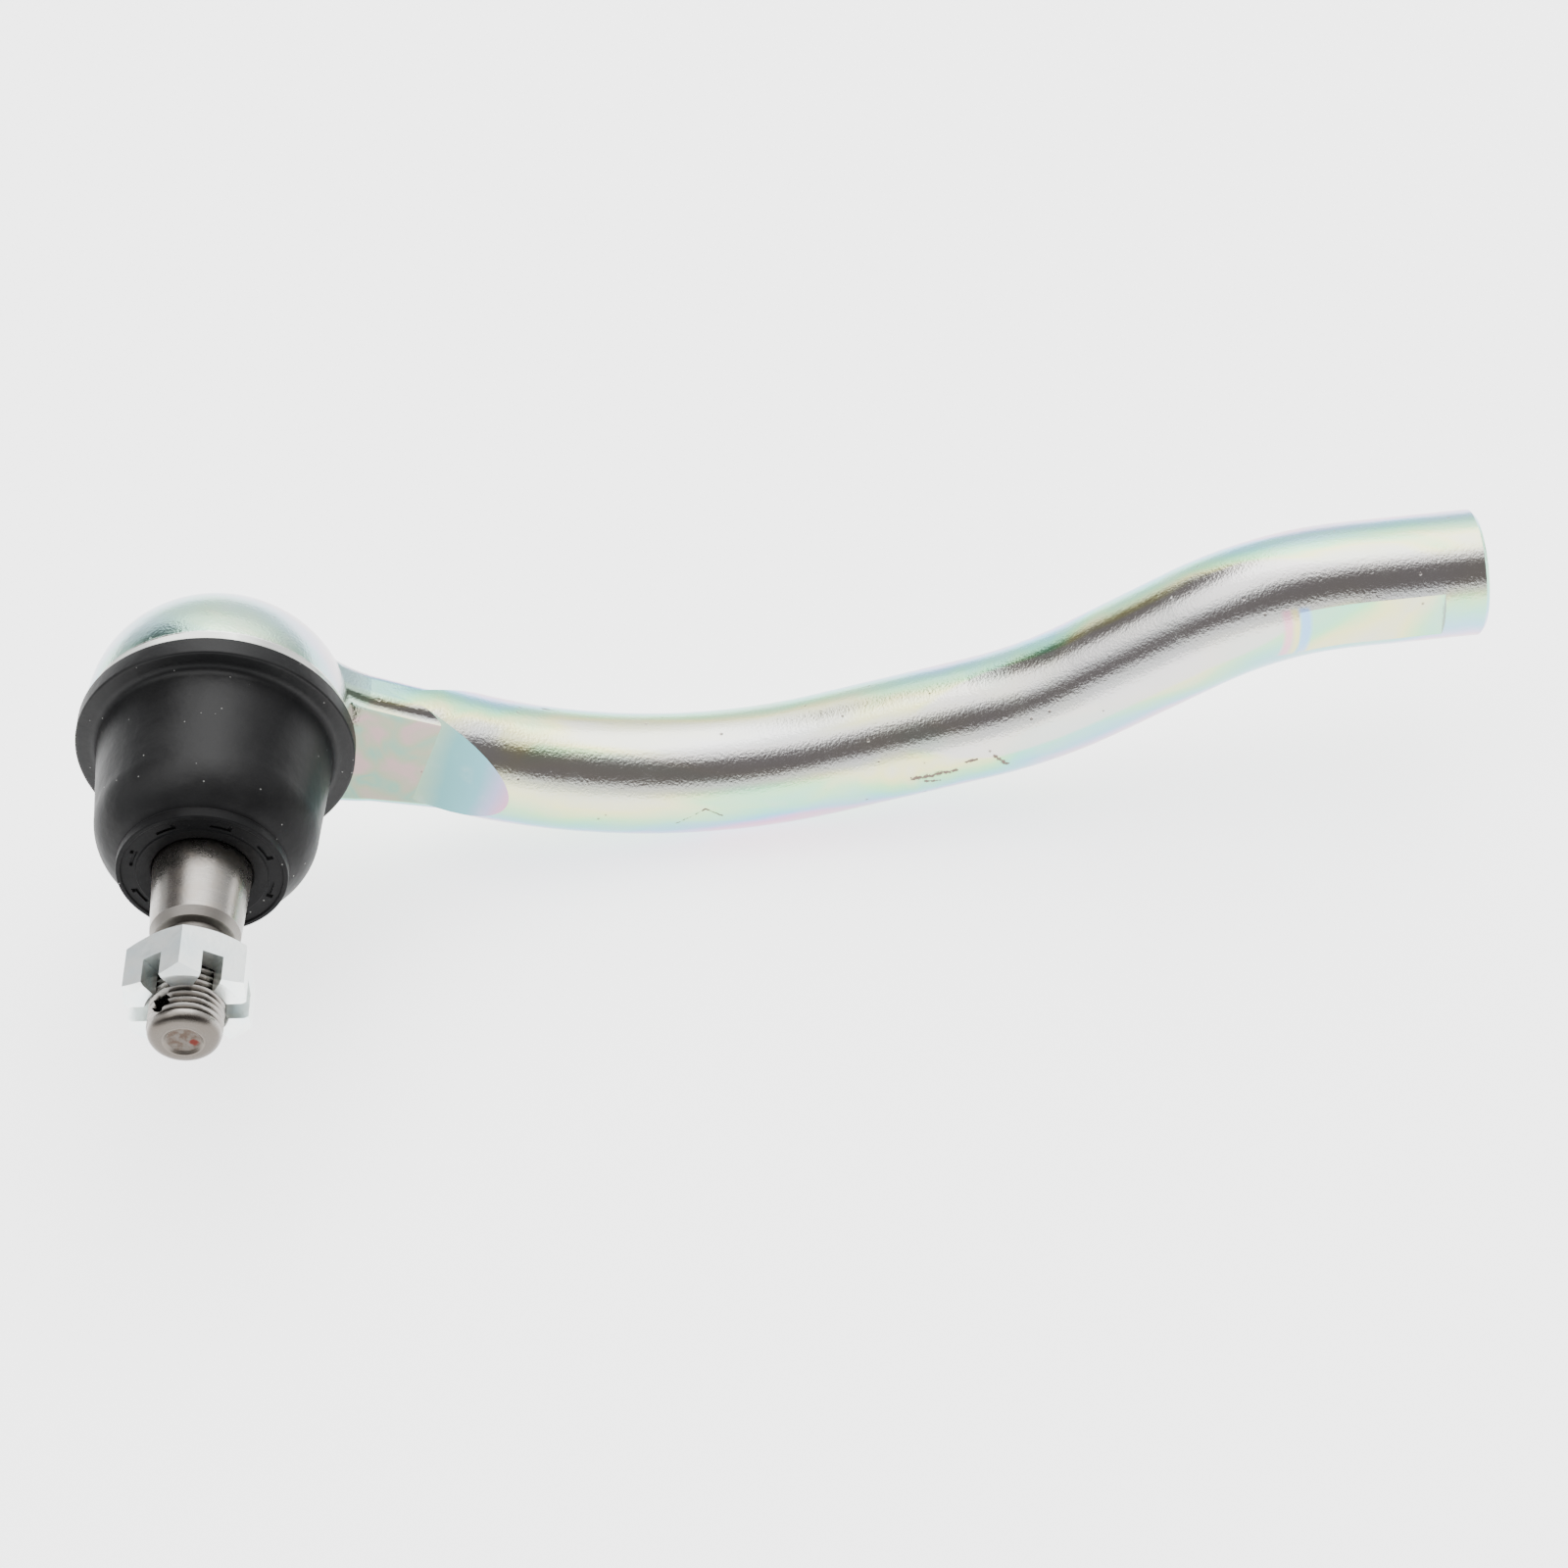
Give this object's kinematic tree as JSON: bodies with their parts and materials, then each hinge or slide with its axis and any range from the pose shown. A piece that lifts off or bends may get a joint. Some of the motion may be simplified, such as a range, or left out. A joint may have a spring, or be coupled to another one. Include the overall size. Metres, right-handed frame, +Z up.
{
  "type": "tie rod end",
  "caption": "Steering tie rod end: a booted ball joint with a tapered stud and castle nut, on a forged S-bent arm with a female thread in its end.",
  "frame": {"origin": "centre of the ball, where the stud's axis crosses the line of the threaded bore", "axes": "+X along the threaded bore, pointing out of the arm's end; the stud points along -Y; +Z is up and the arm bends in the XZ plane"},
  "size_m": [0.2445, 0.0924, 0.0649],
  "materials": {
    "zinc_forging": "iridescent zinc plating over a forged skin",
    "plate_steel": "zinc plated pressing",
    "spring_steel": "blued spring steel",
    "seat_polymer": "self-lubricating polymer",
    "stud_steel": "turned and ground steel",
    "ring_steel": "pressed steel ring",
    "boot_rubber": "satin black rubber",
    "nut_zinc": "bright zinc plating"
  },
  "bodies": {
    "housing": {"housing": "zinc_forging", "closing_plate": "plate_steel", "preload_spring": "spring_steel", "upper_seat": "seat_polymer", "ball_seat": "seat_polymer", "boot_base_ring": "ring_steel"},
    "boot": {"dust_boot": "boot_rubber"},
    "neck": {"boot_neck_ring": "ring_steel"},
    "stud": {"ball_stud": "stud_steel"},
    "nut": {"castle_nut": "nut_zinc"}
  },
  "joints": [
    {"name": "stud_rock", "type": "hinge", "parent": "housing", "child": "boot", "pos_m": [0, 0, 0], "axis": [1, 0, 0], "range_deg": [-18, 18], "deforming": ["dust_boot"]},
    {"name": "stud_swing", "type": "hinge", "parent": "boot", "child": "neck", "pos_m": [0, 0, 0], "axis": [0, 0, 1], "range_deg": [-18, 18], "deforming": ["dust_boot"]},
    {"name": "stud_turn", "type": "hinge", "parent": "neck", "child": "stud", "pos_m": [0, 0, 0], "axis": [0, 1, 0], "continuous": true},
    {"name": "nut_turn", "type": "hinge", "parent": "stud", "child": "nut", "pos_m": [0, -0.066, 0], "axis": [0, 1, 0], "continuous": true}
  ]
}
